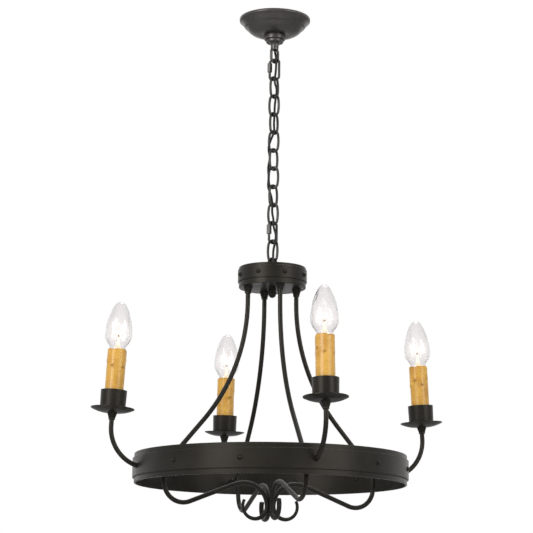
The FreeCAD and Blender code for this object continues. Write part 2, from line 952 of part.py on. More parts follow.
def rivet_outline(inside, outside):
    """Half of a rivet, along its own axis: the tail inside the wall, the shank, the domed head."""
    shank, head = size("rivet_shank"), size("rivet_head_radius")
    high = size("rivet_head_high")
    dome = (head * head + high * high) / (high * 2)
    return [
        (ZERO, inside - 1.1),
        (shank + 1.2, inside - 1.1),
        (shank + 1.2, inside - 0.1),
        (shank, inside - 0.1),
        (shank, outside),
        (head, outside, dome),
        (ZERO, outside + high),
    ]


def build_rivets(label, placement, inside, outside, height, turns, count):
    """The domed rivets of a strap, at the given turns and repeated round."""
    body = new_body(label, placement)
    features = []
    for index, turn in enumerate(turns):
        rotation = FreeCAD.Rotation(UP, 180 + turn)
        shift = FreeCAD.Placement(V(0, 0, height.number), rotation)
        features.append(
            revolve(body, f"{label}_{index}", rivet_outline(inside, outside), shift, "XY_Plane")
        )
    repeat_round(body, f"{label}_round", features, count)
    return body


def build_hub_fasteners():
    """The stem with its coupling, the ball nut under the floor, and the nuts on the tubes' ends."""
    coupling = new_body("hub_coupling")
    stem_radius, gap = size("hub_stem_radius"), size("thread_gap")
    under_lid = SIZES["hub_top"] + SIZES["hub_cover_thick"]
    coupling_low = -under_lid - 13.0
    hex_nut(coupling, "coupling", size("lock_nut_flats"), 13.0, stem_radius + gap, coupling_low)

    stem = new_body("hub_stem")
    floor = -size("hub_top") - size("hub_height")
    stem_top = fixed(-SIZES["hub_top"] - 9.6)
    revolve(
        stem,
        "rod",
        [(ZERO, floor - 8.0), (stem_radius, floor - 8.0), (stem_radius, stem_top), (ZERO, stem_top)],
    )

    finial = new_body("hub_finial")
    ball, neck = size("finial_radius"), size("finial_neck")
    bore, shoulder = stem_radius + gap, stem_radius + 1.6
    centre = floor - neck - ball
    meet = math.sqrt(ball.number**2 - shoulder.number**2)
    revolve(
        finial,
        "ball",
        [
            (ZERO, centre - ball, ball),
            (shoulder, centre + meet),
            (shoulder, floor),
            (bore, floor),
            (bore, floor - 9.0),
            (ZERO, floor - 9.0),
        ],
    )

    nuts = new_body("hub_nuts", turned(SIZES["arm_turn"]))
    inside = number_of(floor + size("hub_floor"))
    stem_nut = hex_nut(nuts, "stem_nut", size("lock_nut_flats"), 4.0, bore, inside)
    tube_bore = size("tube_radius") + gap
    tube_nut = hex_nut(
        nuts, "tube_nut", fixed(12.0), 3.5, tube_bore, inside, 0.0, -SIZES["tube_place"]
    )
    repeat_round(nuts, "tube_nuts", [tube_nut], 4)
    assert stem_nut is not None
    return [coupling, stem, finial, nuts]


# ---------------------------------------------------------------- ring


def ring_level():
    """The height of the ring's lower edge."""
    return -size("ring_bottom")


def tube_at_wall():
    """The tube's height and slope where it passes the ring's wall."""
    _, bend = tube_stations()
    centre_r, centre_z = bend
    reach = SIZES["ring_radius"] - centre_r
    arm = SIZES["tube_arm_radius"]
    height = centre_z - math.sqrt(arm * arm - reach * reach)
    return height, math.degrees(math.asin(reach / arm))


def tube_moves():
    """The tube's bending schedule, from its end in the hub to its end in the candle's socket."""
    return [
        ("run", size("tube_drop")),
        ("bend", size("tube_flare_radius"), size("tube_flare_angle")),
        ("run", size("tube_slope")),
        ("bend", size("tube_heel_radius"), size("tube_heel_angle")),
        ("bend", size("tube_arm_radius"), size("candle_lean") + 90.0),
        ("run", size("tube_stub")),
    ]


def follow(x, y, moves):
    """The ends of a bending schedule worked out without drawing it."""
    heading, ends = -math.pi / 2, []
    for kind, *amounts in moves:
        if kind == "run":
            length = number_of(amounts[0])
            x, y = x + length * math.cos(heading), y + length * math.sin(heading)
        else:
            radius, turn = number_of(amounts[0]), math.radians(number_of(amounts[1]))
            side = 1 if turn > 0 else -1
            cx, cy = x - side * radius * math.sin(heading), y + side * radius * math.cos(heading)
            heading += turn
            x, y = cx + side * radius * math.sin(heading), cy - side * radius * math.cos(heading)
        ends.append((x, y, heading))
    return ends


def tube_stations():
    """The end of the arm's bend, where the candle starts, and the bend's centre (radius, height)."""
    ends = follow(SIZES["tube_place"], SIZES["tube_top"], tube_moves())
    heel = ends[3]
    return ends[4], (heel[0], heel[1] + SIZES["tube_arm_radius"])


def build_ring():
    """The ring's band of flat steel on edge, drilled for the tubes and the rivets."""
    body = new_body("ring_band", turned(SIZES["arm_turn"]))
    outer, wall, low = size("ring_radius"), size("ring_wall"), ring_level()
    inner, high = outer - wall, low + size("ring_height")
    revolve(
        body,
        "band",
        [
            (inner, low),
            (outer - 0.5, low),
            (outer, low + 0.5),
            (outer, high - 0.5),
            (outer - 0.5, high),
            (inner, high),
        ],
    )
    drill_rivets_and_tubes(body, "band", outer)
    return body


def drill_rivets_and_tubes(body, name, radius):
    """Twelve rivet holes, and the four sloping holes that the tubes pass."""
    strap_middle = ring_level() + size("ring_strap_bottom") + size("ring_strap_width") / 2
    shift = FreeCAD.Placement(V(0, 0, radius.number), FreeCAD.Rotation())
    rivet_hole = new_sketch(body, f"{name}_rivet_hole", "XZ_Plane", shift)
    draw_circle(rivet_hole, size("rivet_shank") + size("thread_gap"), ZERO, strap_middle)
    bit = drill(body, f"{name}_rivet_drill", rivet_hole, 12.0)
    repeat_round(body, f"{name}_rivet_drills", [bit], 12)
    height, slope = tube_at_wall()
    tube_hole = new_sketch(body, f"{name}_tube_hole", "XZ_Plane", shift)
    shifted = height + (radius.number - SIZES["ring_radius"]) * math.tan(math.radians(slope))
    draw_circle(tube_hole, size("tube_hole_radius"), ZERO, ring_level() + shifted)
    way = V(0, -math.cos(math.radians(slope)), math.sin(math.radians(slope)))
    tube_bit = drill(body, f"{name}_tube_drill", tube_hole, 24.0, way)
    repeat_round(body, f"{name}_tube_drills", [tube_bit], 4)


def build_ring_strap():
    """The outer strap of the ring, riveted to the band and pierced by the tubes as well."""
    body = new_body("ring_strap", turned(SIZES["arm_turn"]))
    radius, thick = size("ring_radius"), size("ring_strap_thick")
    low = ring_level() + size("ring_strap_bottom")
    high = low + size("ring_strap_width")
    outer = radius + thick
    revolve(
        body,
        "hoop",
        [
            (radius, low),
            (outer - 0.6, low),
            (outer, low + 0.6),
            (outer, high - 0.6),
            (outer - 0.6, high),
            (radius, high),
        ],
    )
    drill_rivets_and_tubes(body, "hoop", outer)
    return body


# ---------------------------------------------------------------- arms


def arm_placement(number):
    """The turn of arm 1 to 4; in the body's own frame the arm's plane is XZ, outwards along +X."""
    return turned(SIZES["arm_turn"] - 90 + 90 * (number - 1), V(0, 0, -SIZES["ring_bottom"]))


def build_arm_tube(number):
    """One continuous steel tube from the hub, through the ring's wall and up to the candle."""
    body = new_body(f"arm_tube_{number}", arm_placement(number))
    spine = new_sketch(body, f"tube_path_{number}")
    draw_path(spine, size("tube_place"), size("tube_top"), tube_moves())
    shift = FreeCAD.Placement(V(0, 0, SIZES["tube_top"]), FreeCAD.Rotation())
    section = new_sketch(body, f"tube_section_{number}", "XY_Plane", shift)
    draw_circle(section, size("tube_radius"), size("tube_place"))
    draw_circle(section, size("tube_bore"), size("tube_place"))
    sweep(body, f"tube_{number}", spine, section)
    return body


def scroll_moves():
    """The scroll's bending schedule up to the start of the hook."""
    return [
        ("run", size("scroll_leg")),
        ("bend", size("scroll_dip_radius"), -size("scroll_dip_angle")),
        ("run", size("scroll_rise")),
        ("bend", size("scroll_crest_radius"), size("scroll_crest_angle")),
        ("bend", size("scroll_fall_radius"), fixed(90.0)),
    ]


def build_scroll(number):
    """A forged rod coped and welded under the tube, its end drawn thin and curled into a hook."""
    label = f"scroll_{number}"
    bar = new_body(f"{label}_bar", arm_placement(number))
    place, top, rod = size("scroll_place"), size("scroll_leg_top"), size("tube_radius")
    path = new_sketch(bar, f"{label}_path")
    ends = draw_path(path, place, top, scroll_moves())
    shift = FreeCAD.Placement(V(0, 0, top.number), FreeCAD.Rotation())
    section = new_sketch(bar, f"{label}_section", "XY_Plane", shift)
    draw_circle(section, rod, place)
    sweep(bar, f"{label}_rod", path, section)
    add_hook(bar, label, ends[-1])

    coped = doc.addObject("Part::Cut", label)
    coped.Base = bar
    coped.Tool = build_cope(label, arm_placement(number))
    coped.Label = label
    return coped


def build_cope(label, placement):
    """What the tube's underside takes off the scroll's upper end: the bent tube and all above it."""
    bend_start = follow(SIZES["tube_place"], SIZES["tube_top"], tube_moves())[2]
    heel, angle = size("tube_heel_radius"), SIZES["tube_heel_angle"]
    centre_x = bend_start[0] - heel.number * math.sin(bend_start[2])
    centre_z = bend_start[1] + heel.number * math.cos(bend_start[2])
    stand = FreeCAD.Rotation(V(1, 0, 0), 90)
    start = math.degrees(bend_start[2]) - 90
    tube = ring_segment(
        f"{label}_cope_tube",
        heel,
        size("tube_radius"),
        angle,
        FreeCAD.Placement(V(centre_x, 0, centre_z), stand * FreeCAD.Rotation(UP, start)),
    )
    swing = math.asin((centre_x - SIZES["scroll_place"]) / heel.number)
    above = doc.addObject("Part::Box", f"{label}_cope_above")
    bind(above, "Length", size("tube_radius") * 8)
    bind(above, "Width", size("tube_radius") * 4)
    bind(above, "Height", size("tube_radius") * 4)
    inside = heel.number + 0.8
    corner = V(-4 * SIZES["tube_radius"], -2 * SIZES["tube_radius"], -inside)
    tilt = FreeCAD.Rotation(V(0, 1, 0), math.degrees(swing))
    above.Placement = FreeCAD.Placement(V(centre_x, 0, centre_z) + tilt.multVec(corner), tilt)
    tool = doc.addObject("Part::MultiFuse", f"{label}_cope")
    tool.Shapes = [tube, above]
    tool.Placement = placement
    return tool


def draw_oval(sketch, centre_x, wide, thin):
    """An oval section across the hook, wide along Y and thin along X."""
    centre = V(centre_x, 0, 0)
    oval = Part.Ellipse(centre + V(0, wide.number, 0), centre + V(thin.number, 0, 0), centre)
    edge = sketch.addGeometry(oval, False)
    sketch.exposeInternalGeometry(edge)
    place_point(sketch, edge, 3, fixed(centre_x), ZERO)
    sketch.addConstraint(Sketcher.Constraint("Vertical", edge + 1))
    hold(sketch, "Distance", wide * 2, edge + 1)
    hold(sketch, "Distance", thin * 2, edge + 2)


def add_hook(body, label, start):
    """The curled end: from a slight shoulder the rod is drawn thinner and wider round a bend."""
    radius, angle = SIZES["scroll_hook_radius"], SIZES["scroll_hook_angle"]
    neck = size("tube_radius") - size("scroll_shoulder")
    wide, thin = size("scroll_tip_wide"), size("scroll_tip_thin")
    centre = V(start[0] + radius, 0, start[1])
    sections = []
    stations = 8
    for step in range(stations + 1):
        share = step / stations
        drawn = share * share * (3 - 2 * share)
        turn = FreeCAD.Rotation(V(0, 1, 0), -angle * share)
        shift = FreeCAD.Placement(centre, turn)
        section = new_sketch(body, f"{label}_hook_{step}", "XY_Plane", shift)
        wide_here = neck + (wide - neck) * drawn
        draw_oval(section, -radius, wide_here, neck + (thin - neck) * drawn - 0.02)
        sections.append(section)
    hook = body.newObject("PartDesign::AdditiveLoft", f"{label}_hook")
    hook.Profile = sections[0]
    hook.Sections = sections[1:]
    hook.Ruled = False
    return hook


# ---------------------------------------------------------------- candles


def candle_placement(number):
    """The leaning frame of a candle: its origin at the end of the arm's bend, +Z along the candle."""
    station, _ = tube_stations()
    lean = FreeCAD.Rotation(V(0, 1, 0), -SIZES["candle_lean"])
    local = FreeCAD.Placement(V(station[0], 0, station[1]), lean)
    return arm_placement(number).multiply(local)


def ferrule_outline(low, up):
    """A turned conical ferrule with a short straight collar; up is +1 if it widens upwards."""
    bore = size("tube_radius") + size("thread_gap")
    narrow, wide = size("ferrule_narrow"), size("ferrule_wide")
    tall = size("bobeche_low") - size("ferrule_low")
    collar = low + size("ferrule_collar") * up
    high = low + tall * up
    return [(bore, low), (narrow, low), (narrow, collar), (wide, high), (bore, high)]


def build_ferrules():
    """Eight conical ferrules: four under the hub's floor, pointing down, and four under the candles."""
    body = new_body("tube_ferrules")
    hub_floor = -SIZES["hub_top"] - SIZES["hub_height"]
    tall = SIZES["bobeche_low"] - SIZES["ferrule_low"]
    for number in range(1, 5):
        angle = math.radians(SIZES["arm_turn"] - 90 + 90 * (number - 1))
        radius = SIZES["tube_place"]
        place = V(radius * math.cos(angle), radius * math.sin(angle), hub_floor - tall)
        upright_shift = FreeCAD.Placement(place, FreeCAD.Rotation(V(1, 0, 0), 90))
        add_ferrule(body, f"hub_ferrule_{number}", upright_shift)
        candle = candle_placement(number)
        candle_shift = candle.multiply(FreeCAD.Placement(V(0, 0, 0), FreeCAD.Rotation(V(1, 0, 0), 90)))
        add_ferrule(body, f"candle_ferrule_{number}", candle_shift, size("ferrule_low"))
    return body


def add_ferrule(body, name, shift, low=ZERO):
    """One ferrule turned in a sketch that stands where the tube is."""
    return revolve(body, name, ferrule_outline(low, 1), shift, "XY_Plane")


def build_bobeches():
    """Four dished drip pans of thin spun steel, clamped between the ferrules and the cups."""
    body = new_body("bobeches")
    low, thick = size("bobeche_low"), size("bobeche_thick")
    flat, rim = size("bobeche_flat"), size("bobeche_radius")
    high = low + size("bobeche_deep")
    bore = size("tube_radius") + size("thread_gap")
    for number in range(1, 5):
        stand = FreeCAD.Placement(V(0, 0, 0), FreeCAD.Rotation(V(1, 0, 0), 90))
        shift = candle_placement(number).multiply(stand)
        revolve(
            body,
            f"bobeche_{number}",
            [
                (bore, low),
                (flat, low, fixed(60.0)),
                (rim, high - thick),
                (rim, high, -fixed(60.0)),
                (flat, low + thick),
                (bore, low + thick),
            ],
            shift,
            "XY_Plane",
        )
    return body


def build_cup(number):
    """The candle cup: a drawn steel cup with a rounded foot that stands in the drip pan."""
    body = new_body(f"candle_cup_{number}", candle_placement(number))
    low = size("bobeche_low") + size("bobeche_thick")
    outer, wall, belly = size("cup_radius"), size("cup_wall"), size("cup_foot_radius")
    high, bore = size("cup_top"), size("tube_radius") + size("thread_gap")
    foot = size("cup_round")
    revolve(
        body,
        f"cup_{number}",
        [
            (bore, low),
            (belly - foot, low, foot),
            (belly, low + foot),
            (outer, high),
            (outer - wall, high),
            (belly - wall, low + foot, wall - foot),
            (belly - foot, low + wall),
            (bore, low + wall),
        ],
    )
    return body


def build_sockets():
    """Four medium-base sockets: a liner cup screwed on each tube's end inside the candle."""
    body = new_body("lamp_sockets")
    low = size("bobeche_low") + size("bobeche_thick") + size("cup_wall")
    outer, inner, top = size("socket_radius"), size("socket_inside"), size("socket_top")
    floor = size("bulb_base_top") - size("bulb_base_length") - 0.3
    bore = size("tube_radius") + size("thread_gap")
    tube_end = size("tube_stub") + 0.3
    stem = fixed(8.0)
    for number in range(1, 5):
        stand = FreeCAD.Placement(V(0, 0, 0), FreeCAD.Rotation(V(1, 0, 0), 90))
        shift = candle_placement(number).multiply(stand)
        revolve(
            body,
            f"socket_{number}",
            [
                (bore, low),
                (stem, low),
                (stem, floor - 14.0),
                (outer, floor - 8.0),
                (outer, top),
                (inner, top),
                (inner, floor),
                (ZERO, floor),
                (ZERO, tube_end),
                (bore, tube_end),
            ],
            shift,
            "XY_Plane",
        )
    return body


def build_sleeve(number):
    """The resin candle sleeve: a tube with a slumped top edge, like a burnt-down candle."""
    body = new_body(f"candle_sleeve_{number}", candle_placement(number))
    low = size("sleeve_low")
    outer, inner, high = size("sleeve_radius"), size("sleeve_inside"), size("sleeve_top")
    revolve(
        body,
        f"sleeve_{number}",
        [
            (inner, low),
            (outer, low),
            (outer, high - 3.5, fixed(4.5)),
            (outer - 1.0, high),
            (inner, high),
        ],
    )
    return body


def build_bulb(number):
    """A flame-shaped bulb: the blown glass and its screw base, which turn together."""
    placement = candle_placement(number)
    joint = size("bulb_base_top")
    wall = size("bulb_wall")
    neck, flare, belly = size("bulb_neck_radius"), size("bulb_flare_radius"), size("bulb_radius")
    shoulder, nose = size("bulb_shoulder_radius"), size("bulb_nose_radius")
    tip, seal = size("bulb_tip"), size("bulb_seal")
    glass = new_body(f"bulb_glass_{number}", placement)
    revolve(
        glass,
        f"glass_{number}",
        [
            (neck, joint),
            (neck, size("bulb_neck_top"), -fixed(11.75)),
            (flare, size("bulb_flare_top"), fixed(17.2)),
            (belly, size("bulb_belly_low")),
            (belly, size("bulb_belly_top"), fixed(83.0)),
            (shoulder, size("bulb_shoulder"), fixed(152.0)),
            (nose, size("bulb_nose"), fixed(11.2)),
            (seal, tip),
            (ZERO, tip),
            (ZERO, tip - wall),
            (seal, tip - wall, -fixed(10.6)),
            (nose - wall, size("bulb_nose") - 0.3, -fixed(151.0)),
            (shoulder - wall, size("bulb_shoulder"), -fixed(82.0)),
            (belly - wall, size("bulb_belly_top")),
            (belly - wall, size("bulb_belly_low"), -fixed(16.2)),
            (flare - wall, size("bulb_flare_top") + 0.6, fixed(12.75)),
            (neck - wall, size("bulb_neck_top")),
            (neck - wall, joint),
        ],
    )
    base = new_body(f"bulb_base_{number}", placement)
    radius, length = size("bulb_base_radius"), size("bulb_base_length")
    revolve(
        base,
        f"base_{number}",
        [
            (ZERO, joint - length),
            (fixed(5.0), joint - length),
            (fixed(5.0), joint - length + 1.6),
            (radius - 1.0, joint - length + 5.5),
            (radius, joint - length + 6.5),
            (radius, joint - 0.8),
            (radius - 0.6, joint),
            (ZERO, joint),
        ],
    )
    return [glass, base]


# ---------------------------------------------------------------- supply cord

CORD_RADIUS = 2.0

# Where the cord turns on its way down between the links, first to last.
CORD_TURNS = [
    (0, 1, -29), (0, 0, -44), (0, 0, -60), (3, -8, -74), (3, -3, -90),
    (2, -6, -104), (0, -6, -119), (5, -4, -132), (3, -8, -148), (1, -1, -163),
    (1, -8, -179), (0, 0, -195), (1, -8, -212), (-6, -3, -227), (-10, -2, -241),
    (-6, 2, -257), (-10, -1, -276), (-8, -3, -294), (-10, -1, -311), (-4, 1, -324),
    (-1, 7, -339), (-2, 4, -356), (1, -7, -370), (1, -5, -385), (6, -4, -398),
    (4, -8, -413), (1, -3, -426), (1, -4, -438), (0, -17, -451), (0, -18, -464),
]


def bend_radius(before, turn, after):
    """The radius and the reach of the round bend at a turn, by the shorter of its two runs."""
    way_in, way_out = turn - before, after - turn
    half_turn = way_in.getAngle(way_out) / 2
    reach = 0.45 * min(way_in.Length, way_out.Length)
    return reach / math.tan(half_turn), reach


def build_cord():
    """The round supply cord: from the loop's wire way it winds down through the chain to the hub."""
    turns = [V(*point) for point in CORD_TURNS]
    edges, radii, start = [], [], turns[0]
    for before, turn, after in zip(turns, turns[1:], turns[2:]):
        radius, reach = bend_radius(before, turn, after)
        inward = (before - turn).normalize()
        onward = (after - turn).normalize()
        enter, leave = turn + inward * reach, turn + onward * reach
        to_centre = (inward + onward).normalize()
        depth = math.hypot(radius, reach) - radius
        edges.append(Part.LineSegment(start, enter).toShape())
        edges.append(Part.Arc(enter, turn + to_centre * depth, leave).toShape())
        radii.append(radius)
        start = leave
    edges.append(Part.LineSegment(start, turns[-1]).toShape())
    path = doc.addObject("Part::Feature", "cord_path")
    path.Shape = Part.Wire(edges)
    section = doc.addObject("Part::Circle", "cord_section")
    section.Radius = CORD_RADIUS
    section.Placement = FreeCAD.Placement(turns[0], FreeCAD.Rotation(UP, turns[1] - turns[0]))
    cord = doc.addObject("Part::Sweep", "supply_cord")
    cord.Sections = [section]
    cord.Spine = (path, [])
    cord.Solid = True
    cord.Frenet = False
    cord.Label = "supply_cord"
    doc.recompute()
    length = path.Shape.Length
    expected = math.pi * CORD_RADIUS**2 * length
    print(f"cord bends: {[round(radius, 1) for radius in radii]} mm")
    print(f"cord length {length:.1f} mm, volume {cord.Shape.Volume:.0f} against {expected:.0f} mm3")
    return cord


# ---------------------------------------------------------------- the whole


def build_all():
    """Every sub-part, in the order in which the chandelier is put together."""
    parts = [build_crossbar()] + build_nipple() + [build_canopy_loop(), build_canopy(), build_collar()]
    chain, arch_top = build_chain()
    parts += chain + [build_cord()]
    parts += [build_hub_loop(arch_top), build_hub_pan(), build_hub_cover(), build_cord_bushing()]
    hub_turn = turned(SIZES["hub_rivet_turn"])
    strap_high = -size("hub_top") - size("hub_strap_top")
    strap_low = strap_high - size("hub_strap_width")
    hub, hub_strap = size("hub_radius"), size("hub_strap_thick")
    parts.append(build_strap("hub_strap", hub_turn, hub, hub_strap, strap_low, strap_high, 8))
    hub_inside = hub - size("hub_wall")
    parts.append(
        build_rivets("hub_rivets", hub_turn, hub_inside, hub + hub_strap, rivet_height_on_hub(), [0], 8)
    )
    parts += build_hub_fasteners()
    parts += [build_ring(), build_ring_strap()]
    ring, ring_strap = size("ring_radius"), size("ring_strap_thick")
    rivet_height = ring_level() + size("ring_strap_bottom") + size("ring_strap_width") / 2
    parts.append(
        build_rivets(
            "ring_rivets",
            turned(SIZES["arm_turn"]),
            ring - size("ring_wall"),
            ring + ring_strap,
            rivet_height,
            [30, -30],
            4,
        )
    )
    tubes = [build_arm_tube(number) for number in range(1, 5)]
    parts += tubes
    parts += [build_scroll(number) for number in range(1, 5)]
    parts += [build_ferrules(), build_bobeches(), build_sockets()]
    for number in range(1, 5):
        parts += [build_cup(number), build_sleeve(number)] + build_bulb(number)
    return parts


def check_and_write(parts):
    """Stops on any failed object, then writes one file for each sub-part."""
    doc.recompute()
    for item in doc.Objects:
        if "Invalid" in item.State or "Error" in item.State:
            raise RuntimeError(f"{item.Name} failed: {item.State}")
    os.makedirs("parts", exist_ok=True)
    for part in parts:
        shape = part.Shape
        if shape.isNull() or not shape.isValid() or not shape.Solids:
            raise RuntimeError(f"{part.Label} has no valid solid")
        shape.exportStep(f"parts/{part.Label}.step")
        print(f"{part.Label}: {len(shape.Solids)} solid(s), {shape.Volume / 1000:.2f} cm3")
    print(f"{len(parts)} sub-parts written")


check_and_write(build_all())
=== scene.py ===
import math

import bmesh
import bpy
from mathutils import Matrix, Vector


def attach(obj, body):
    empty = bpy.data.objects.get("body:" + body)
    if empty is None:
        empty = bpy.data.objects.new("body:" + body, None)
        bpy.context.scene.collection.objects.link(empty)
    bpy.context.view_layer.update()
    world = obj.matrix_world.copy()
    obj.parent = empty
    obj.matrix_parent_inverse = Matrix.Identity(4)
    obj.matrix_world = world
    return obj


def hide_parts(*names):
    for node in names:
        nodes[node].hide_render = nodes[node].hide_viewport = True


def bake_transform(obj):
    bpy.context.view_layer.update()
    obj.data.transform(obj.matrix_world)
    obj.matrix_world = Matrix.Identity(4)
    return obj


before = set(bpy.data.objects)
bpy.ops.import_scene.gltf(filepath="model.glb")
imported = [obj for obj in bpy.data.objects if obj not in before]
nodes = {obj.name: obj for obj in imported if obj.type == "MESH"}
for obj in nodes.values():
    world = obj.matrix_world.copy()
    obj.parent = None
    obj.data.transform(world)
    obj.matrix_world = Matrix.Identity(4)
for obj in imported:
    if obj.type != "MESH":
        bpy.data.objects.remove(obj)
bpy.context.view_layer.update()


# ---------------------------------------------------------------- camera, light and floor
# The chandelier hangs in a white room and is seen from a little under the ring, from 3.2 m away.
# Two large soft lamps stand left and right behind the viewer, a small one at the viewer's back
# and one above.

IMAGE_SIDE = 533
AXIS_PIXEL = 272.5
FOCAL_PIXELS = 1858.6
RAISE_PIXELS = 0.45
LOOK_UP_DEGREES = 11.28
ROLL_DEGREES = 0.56
camera_data = bpy.data.cameras.new("camera")
camera_data.sensor_width = 36.0
camera_data.lens = FOCAL_PIXELS / IMAGE_SIDE * camera_data.sensor_width
camera_data.shift_x = (IMAGE_SIDE / 2 - AXIS_PIXEL) / IMAGE_SIDE
camera_data.shift_y = RAISE_PIXELS / IMAGE_SIDE
camera_data.clip_end = 60.0
camera = bpy.data.objects.new("camera", camera_data)
camera.location = (0.0, -3.2006, -1.0935)
look_up = Matrix.Rotation(math.radians(90 + LOOK_UP_DEGREES), 3, "X")
camera.rotation_euler = (look_up @ Matrix.Rotation(math.radians(ROLL_DEGREES), 3, "Z")).to_euler()
bpy.context.scene.collection.objects.link(camera)
bpy.context.scene.camera = camera
bpy.context.scene.view_settings.view_transform = "Standard"


def add_lamp(name, place, aim, size, watts):
    """A square soft lamp at a place, turned to a point."""
    data = bpy.data.lights.new(name, "AREA")
    data.size = size
    data.energy = watts
    lamp = bpy.data.objects.new(name, data)
    lamp.location = place
    lamp.rotation_euler = (Vector(aim) - Vector(place)).to_track_quat("-Z", "Y").to_euler()
    bpy.context.scene.collection.objects.link(lamp)


MIDDLE = (0.0, 0.0, -0.55)
add_lamp("lamp_left", (-2.6, -3.0, 0.7), MIDDLE, 2.2, 120.0)
add_lamp("lamp_right", (2.9, -2.4, 0.2), MIDDLE, 2.2, 62.0)
add_lamp("lamp_front", (-0.15, -3.7, -1.55), (0.0, 0.0, -0.3), 0.9, 8.0)
add_lamp("lamp_above", (0.3, 0.8, 2.3), MIDDLE, 2.0, 50.0)


def put(tree, kind, settings=None, **inputs):
    """Adds a node; an input named in words takes a plain value or another node's socket."""
    node = tree.nodes.new("ShaderNode" + kind)
    for name, value in (settings or {}).items():
        setattr(node, name, value)
    for name, value in inputs.items():
        socket = node.inputs[name.replace("_", " ")]
        if isinstance(value, bpy.types.NodeSocket):
            tree.links.new(value, socket)
        else:
            socket.default_value = value
    return node


def sum_of(tree, operation, first, second=0.0, clamp=False):
    """A math node; each side is a plain value or another node's socket."""
    node = tree.nodes.new("ShaderNodeMath")
    node.operation = operation
    node.use_clamp = clamp
    for socket, value in zip(node.inputs, (first, second)):
        if isinstance(value, bpy.types.NodeSocket):
            tree.links.new(value, socket)
        else:
            socket.default_value = value
    return node.outputs[0]


world = bpy.data.worlds.new("white_room")
world.use_nodes = True
world.node_tree.nodes.clear()
bpy.context.scene.world = world
air = world.node_tree
rays = put(air, "LightPath")
seen = sum_of(air, "MAXIMUM", rays.outputs["Is Camera Ray"], rays.outputs["Is Transmission Ray"])
seen = sum_of(air, "MAXIMUM", seen, rays.outputs["Is Glossy Ray"])
soft_light = put(air, "Background", Color=(1.0, 1.0, 1.0, 1.0), Strength=0.30)
white_back = put(air, "Background", Color=(1.0, 1.0, 1.0, 1.0), Strength=1.0)
either = put(air, "MixShader", Fac=seen)
air.links.new(soft_light.outputs[0], either.inputs[1])
air.links.new(white_back.outputs[0], either.inputs[2])
room_out = put(air, "OutputWorld")
air.links.new(either.outputs[0], room_out.inputs["Surface"])

FLOOR_HEIGHT = -2.3
FLOOR_HALF_SIDE = 9.0
floor_mesh = bpy.data.meshes.new("floor")
floor_build = bmesh.new()
bmesh.ops.create_grid(floor_build, x_segments=1, y_segments=1, size=FLOOR_HALF_SIDE)
floor_build.to_mesh(floor_mesh)
floor_build.free()
floor_mesh.transform(Matrix.Translation((0.0, 0.0, FLOOR_HEIGHT)))
floor = bpy.data.objects.new("floor", floor_mesh)
bpy.context.scene.collection.objects.link(floor)
pale = bpy.data.materials.new("pale_floor")
pale.use_nodes = True
pale.node_tree.nodes.clear()
tree = pale.node_tree
matte = put(tree, "BsdfDiffuse", Color=(0.86, 0.86, 0.85, 1.0))
open_side = put(tree, "BsdfTransparent")
one_sided = put(tree, "MixShader", Fac=put(tree, "NewGeometry").outputs["Backfacing"])
tree.links.new(matte.outputs[0], one_sided.inputs[1])
tree.links.new(open_side.outputs[0], one_sided.inputs[2])
put(tree, "OutputMaterial", Surface=one_sided.outputs[0])
floor_mesh.materials.append(pale)


# ---------------------------------------------------------------- supply cord
# A round limp lamp cord with a smooth black cover. It leaves the loop under the canopy, is woven
# through the chain by hand and goes into the hub through a bushing; it is cut into stretches along
# the chain.

CORD_DIAMETER = 0.004
CORD_TURNS = [
    (0.000, 0.001, -0.029), (0.000, 0.000, -0.044), (0.000, 0.000, -0.060),
    (0.003, -0.008, -0.074), (0.003, -0.003, -0.090), (0.002, -0.006, -0.104),
    (0.000, -0.006, -0.119), (0.005, -0.004, -0.132), (0.003, -0.008, -0.148),
    (0.001, -0.001, -0.163), (0.001, -0.008, -0.179), (0.000, 0.000, -0.195),
    (0.001, -0.008, -0.212), (-0.006, -0.003, -0.227), (-0.010, -0.002, -0.241),
    (-0.006, 0.002, -0.257), (-0.010, -0.001, -0.276), (-0.008, -0.003, -0.294),
    (-0.010, -0.001, -0.311), (-0.004, 0.001, -0.324), (-0.001, 0.007, -0.339),
    (-0.002, 0.004, -0.356), (0.001, -0.007, -0.370), (0.001, -0.005, -0.385),
    (0.006, -0.004, -0.398), (0.004, -0.008, -0.413), (0.001, -0.003, -0.426),
    (0.001, -0.004, -0.438), (0.000, -0.017, -0.451), (0.000, -0.018, -0.464),
]
CHAIN_BODIES = (
    ["ceiling_mount", "upper_link_body"]
    + [f"link_{number}_body" for number in range(1, 9)]
    + ["lower_link_body", "link_9_body", "fixture"]
)
FIRST_HINGE = -0.0805
LINK_PITCH = 0.0332


def cord_line(turns):
    """The points of the smooth line through the cord's turns."""
    curve = bpy.data.curves.new("cord_route", "CURVE")
    curve.dimensions = "3D"
    curve.resolution_u = 10
    spline = curve.splines.new("NURBS")
    spline.points.add(len(turns) - 1)
    for point, place in zip(spline.points, turns):
        point.co = (*place, 1.0)
    spline.order_u = 3
    spline.use_endpoint_u = True
    holder = bpy.data.objects.new("cord_route", curve)
    line = bpy.data.meshes.new_from_object(holder)
    places = [vertex.co.copy() for vertex in line.vertices]
    bpy.data.objects.remove(holder)
    return places


